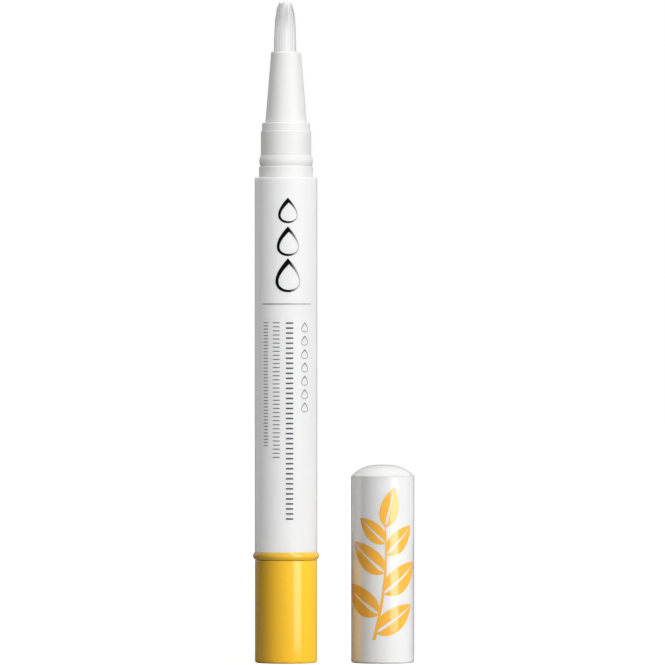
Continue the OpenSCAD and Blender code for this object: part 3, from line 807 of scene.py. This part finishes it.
class OILPEN_OT_cap_print(bpy.types.Operator):
    """Prints the cap with golden sprigs of broad leaves that climb round it"""
    bl_idname = "oilpen.cap_print"
    bl_label = "Cap Print"

    # Each sprig's foot height, stem height and lean, in millimetres
    SPRIGS = [(4.6, 22.0, 2.2), (4.0, 21.0, -2.0)]
    SPRIG_SHIFT, STEM_HALF, STEM_BOW, STEM_TAPER, STEM_STEPS = 0.6, 0.30, 0.9, 0.6, 30
    # Each leaf's place along the stem, its length in millimetres and its angle
    LEAVES = [(0.06, 9.6, 34), (0.22, 10.2, 146), (0.40, 9.8, 38), (0.58, 9.2, 140),
              (0.74, 8.0, 44), (0.84, 7.2, 138), (0.98, 7.8, 77)]
    # A leaf of unit length: half its width, the powers that put its belly towards its foot
    # and make it full, and how far its rim is drawn out towards both ends
    LEAF_HALF, BELLY, FULL, DRAWN_OUT = 0.235, 0.8, 0.9, 0.03
    # The bare midrib: half its width, its taper, where it opens and how sharply
    RIB_HALF, RIB_TAPER, RIB_START, RIB_CURVE = 0.036, 0.8, 0.14, 0.7
    # Half widths of midrib and leaf at the leaf's two ends
    RIB_END, RIM_END = 0.002, 0.004
    LEAF_POINTS = 22

    def half_leaf(self):
        """One side of a leaf of unit length along X, from its midrib outwards."""
        rib, rim = [], []
        for i in range(self.LEAF_POINTS + 1):
            t = i / self.LEAF_POINTS
            wide = math.sin(math.pi * t ** self.BELLY) ** self.FULL
            open_rib = (self.RIB_HALF * (1 - t) ** self.RIB_TAPER
                        * min(1, t / self.RIB_START) ** self.RIB_CURVE)
            rib.append((t, self.RIB_END + open_rib))
            rim.append((t - self.DRAWN_OUT * math.sin(math.tau * t),
                        max(self.LEAF_HALF * wide, self.RIM_END)))
        return patch(rib, rim, self.LEAF_POINTS, 4)

    def sprig(self, half, x_mid, z_low, tall, lean):
        """A stem with leaves in turn to its left and right."""
        pieces = []

        def stem(t):
            bow = self.STEM_BOW * MM * math.sin(math.pi * t)
            return x_mid + lean * (t - 0.5) + bow, z_low + tall * t
        steps = self.STEM_STEPS
        wide = [self.STEM_HALF * MM * (1 - self.STEM_TAPER * i / steps)
                for i in range(steps + 1)]
        line = [stem(i / steps) for i in range(steps + 1)]
        pieces.append(patch([(x - w, z) for (x, z), w in zip(line, wide)],
                            [(x + w, z) for (x, z), w in zip(line, wide)], steps, 1))
        for t, length, angle in self.LEAVES:
            x, z = stem(t)
            turn = math.radians(angle)
            for face in (1, -1):
                pieces.append(copy_of(half, (x, z), turn, (length * MM, face * length * MM)))
        return pieces

    def execute(self, context):
        s = context.scene.oilpen_print
        radius = CAP_R + s.ink_depth
        half = self.half_leaf()
        pieces = []
        turn_round = math.tau * radius
        for k, (z_low, tall, lean) in enumerate(self.SPRIGS):
            x_mid = turn_round * (k / len(self.SPRIGS)) - self.SPRIG_SHIFT * MM
            pieces += self.sprig(half, x_mid, z_low * MM, tall * MM, lean * MM)
        bpy.data.objects.remove(half)
        sprigs = roll_on(joined(pieces, "cap_sprigs"), radius, CAP_X, s.ink_depth)
        dress(sprigs, ink_material("Golden Ink", s.gold_ink, s.gold_ink, 0, 0.05,
                                   roughness=0.18, coat=1))
        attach(sprigs, CAP)
        return {"FINISHED"}


class OILPEN_OT_studio(bpy.types.Operator):
    """Sets the floor, the lights, the white surroundings and the camera"""
    bl_idname = "oilpen.studio"
    bl_label = "Studio"

    # The pieces that each set of lights shines on; the rest take the plain key
    SETS = {"knob": ("knob", "trim_ring"),
            "grip": ("knob",),
            "ring": ("trim_ring",),
            "barrel": ("barrel", "barrel_rule", "barrel_emblem", "barrel_scale"),
            "cap": ("cap_sleeve", "cap_sprigs"),
            "tuft": ("bristle_tuft",),
            "nozzle": ("nozzle",),
            "dome": ("cap_dome",)}
    # The right rims' power as a share of the left rims'
    PALE_RIGHT, KNOB_RIGHT = 1.15, 0.75
    # In metres: the lamps' distance, and the sizes of the lamps
    FAR, WIDE, TALL, STRIP_TALL, TOP_SIZE = 0.9, 0.8, 1.4, 1.2, 0.4
    RIM_WIDE, BACK_WIDE, TOP_X = 0.6, 0.9, 0.01
    # Azimuth, distance and width of the strips that the glossy pieces mirror
    KNOB_STRIP, CAP_STRIP = (41.5, 0.075, 0.037), (46, 0.2, 0.1)
    FLOOR_SIZE, SENSOR, PICTURE = 8, 36, 665
    PAPER = (0.55, 0.55, 0.55, 1)

    def soft_light(self, name, azimuth, distance, width, tall, centre_z, power, lit,
                   mirrored):
        """A soft light at an azimuth from the camera's side, facing the pen's axis, or
        overhead and facing down where no azimuth is given. Only the named pieces take
        it."""
        lamp = bpy.data.lights.new(name, "AREA")
        lamp.shape = "RECTANGLE"
        lamp.size, lamp.size_y = width, tall
        lamp.energy = power
        piece = bpy.data.objects.new(name, lamp)
        bpy.context.scene.collection.objects.link(piece)
        if azimuth is None:
            piece.location = (self.TOP_X, 0, centre_z + distance)
        else:
            a = math.radians(azimuth)
            piece.location = (distance * math.sin(a), -distance * math.cos(a), centre_z)
            piece.rotation_euler = (math.pi / 2, 0, a)
        piece.visible_camera = False
        piece.visible_glossy = mirrored
        group = bpy.data.collections.new(name + " Pieces")
        for shell in lit:
            group.objects.link(shell)
        piece.light_linking.receiver_collection = group

    def floor_material(self):
        """White paper: it takes the object's shadow and shows white to the camera."""
        made, tree, shader = new_material("Studio Paper")
        shader.inputs["Roughness"].default_value = 0.9
        shader.inputs["Base Color"].default_value = self.PAPER
        rays = node(tree, "ShaderNodeLightPath")
        place = node(tree, "ShaderNodeTexCoord")
        away = node(tree, "ShaderNodeVectorMath", operation="LENGTH")
        link(tree, place.outputs["Object"], away.inputs[0])
        lift = node(tree, "ShaderNodeMapRange", {"From Min": 0.1, "From Max": 0.6,
                                                 "To Min": 0.88, "To Max": 0.97})
        link(tree, away.outputs["Value"], lift.inputs["Value"])
        glow = maths(tree, "MULTIPLY", rays.outputs["Is Camera Ray"], lift.outputs["Result"])
        link(tree, glow, shader.inputs["Emission Strength"])
        shader.inputs["Emission Color"].default_value = (1, 1, 1, 1)
        return made

    def execute(self, context):
        s = context.scene.oilpen_studio
        scene = context.scene
        clear_selection()
        bpy.ops.mesh.primitive_plane_add(size=self.FLOOR_SIZE, location=(0, 0, 0))
        floor = joined([context.object], "studio_floor")
        dress(floor, self.floor_material())

        shells = [o for o in scene.objects if o.type == "MESH" and o is not floor]
        sets = {name: [bpy.data.objects[piece] for piece in pieces]
                for name, pieces in self.SETS.items()}
        own = sets["knob"] + sets["barrel"] + sets["cap"] + sets["tuft"] + sets["dome"]
        rest = [o for o in shells if o not in own]
        pale = [o for o in shells if o not in sets["knob"] + sets["tuft"]]
        mirrors = [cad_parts["cap_sleeve"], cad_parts["cap_dome"]]
        sprigs = [bpy.data.objects["cap_sprigs"]]
        mid = s.camera_height
        wide, rim = self.WIDE, self.RIM_WIDE
        for name, azimuth, width, power, lit, mirrored in (
                ("Key", 40, wide, s.key_power, rest, False),
                ("Barrel Key", 40, wide, s.barrel_key_power, sets["barrel"] + [floor], False),
                ("Cap Key", 40, wide, s.cap_key_power, sets["cap"], False),
                ("Dome Key", 34, wide, s.dome_key_power, sets["dome"], False),
                ("Knob Key", 34, wide, s.knob_key_power, sets["knob"], False),
                ("Tuft Key", 11, wide, s.tuft_key_power, sets["tuft"], False),
                ("Tuft Left", -145, wide, s.tuft_left_power, sets["tuft"], False),
                ("Tuft Right", 135, wide, s.tuft_right_power, sets["tuft"], False),
                ("Barrel Fill", -45, wide, s.barrel_fill_power, sets["barrel"], False),
                ("Nozzle Fill", -15, wide, s.nozzle_fill_power, sets["nozzle"], False),
                ("Left Rim", -137, rim, s.pale_rim_power, pale, True),
                ("Right Rim", 137, rim, self.PALE_RIGHT * s.pale_rim_power, pale, True),
                ("Knob Left Rim", -137, rim, s.knob_rim_power, sets["grip"], True),
                ("Knob Right Rim", 137, rim, self.KNOB_RIGHT * s.knob_rim_power,
                 sets["grip"], True),
                ("Ring Left Rim", -137, rim, s.ring_rim_power, sets["ring"], True),
                ("Ring Right Rim", 137, rim, s.ring_rim_power, sets["ring"], True),
                ("Back", 180, self.BACK_WIDE, s.back_power, shells, False)):
            self.soft_light(name, azimuth, self.FAR, width, self.TALL, mid, power, lit,
                            mirrored)
        for name, (azimuth, distance, width), power, lit in (
                ("Knob Strip", self.KNOB_STRIP, s.knob_strip_power, sets["knob"]),
                ("Cap Strip", self.CAP_STRIP, s.cap_strip_power, mirrors),
                ("Sprig Strip", self.CAP_STRIP, s.sprig_strip_power, sprigs)):
            self.soft_light(name, azimuth, distance, width, self.STRIP_TALL, mid, power,
                            lit, True)
        for name, power, lit, mirrored in (
                ("Top", s.top_power, pale, False),
                ("Knob Top", s.knob_top_power, sets["knob"], True)):
            self.soft_light(name, None, self.FAR, self.TOP_SIZE, self.TOP_SIZE, mid, power,
                            lit, mirrored)

        world = scene.world or bpy.data.worlds.new("Studio Surroundings")
        scene.world = world
        world.use_nodes = True
        tree = world.node_tree
        tree.nodes.clear()
        out = node(tree, "ShaderNodeOutputWorld")
        rays = node(tree, "ShaderNodeLightPath")
        around = node(tree, "ShaderNodeBackground", {"Color": (1, 1, 1, 1),
                                                     "Strength": s.ambient})
        white = node(tree, "ShaderNodeBackground", {"Color": (1, 1, 1, 1), "Strength": 1})
        mix = node(tree, "ShaderNodeMixShader")
        link(tree, rays.outputs["Is Camera Ray"], mix.inputs[0])
        link(tree, around.outputs[0], mix.inputs[1])
        link(tree, white.outputs[0], mix.inputs[2])
        link(tree, mix.outputs[0], out.inputs["Surface"])

        lens = bpy.data.cameras.new("Camera")
        lens.sensor_width = self.SENSOR
        lens.lens = (self.SENSOR * s.camera_distance
                     / (self.PICTURE * s.mm_per_pixel * MM))
        lens.clip_start, lens.clip_end = 0.05, 50
        camera = bpy.data.objects.new("Camera", lens)
        scene.collection.objects.link(camera)
        camera.location = (s.camera_side, -s.camera_distance, s.camera_height)
        camera.rotation_euler = (math.pi / 2, 0, 0)
        scene.camera = camera
        scene.view_settings.view_transform = "Standard"
        return {"FINISHED"}


class OILPEN_PT_panel(bpy.types.Panel):
    """Lists the steps that dress the pen"""
    bl_idname = "OILPEN_PT_panel"
    bl_label = "Nail Oil Pen"
    bl_space_type = "VIEW_3D"
    bl_region_type = "UI"
    bl_category = "Oil Pen"

    def draw(self, context):
        for group in GROUPS:
            settings = getattr(context.scene, group)
            box = self.layout.box()
            for prop in settings.bl_rna.properties:
                if prop.identifier not in ("rna_type", "name"):
                    box.prop(settings, prop.identifier)
        for step in STEPS:
            self.layout.operator(step.bl_idname)


GROUPS = {"oilpen_shells": ShellSettings, "oilpen_tuft": TuftSettings,
          "oilpen_print": PrintSettings, "oilpen_studio": StudioSettings}
STEPS = (OILPEN_OT_shells, OILPEN_OT_inside, OILPEN_OT_tuft, OILPEN_OT_barrel_print,
         OILPEN_OT_cap_print, OILPEN_OT_studio)
CLASSES = (*GROUPS.values(), *STEPS, OILPEN_PT_panel)


def register():
    for cls in CLASSES:
        bpy.utils.register_class(cls)
    for name, group in GROUPS.items():
        setattr(bpy.types.Scene, name, bpy.props.PointerProperty(type=group))


def unregister():
    for name in GROUPS:
        delattr(bpy.types.Scene, name)
    for cls in reversed(CLASSES):
        bpy.utils.unregister_class(cls)


def main():
    register()
    bpy.ops.oilpen.shells()
    bpy.ops.oilpen.inside()
    bpy.ops.oilpen.tuft()
    bpy.ops.oilpen.barrel_print()
    bpy.ops.oilpen.cap_print()
    bpy.ops.oilpen.studio()


if __name__ == "__main__":
    main()
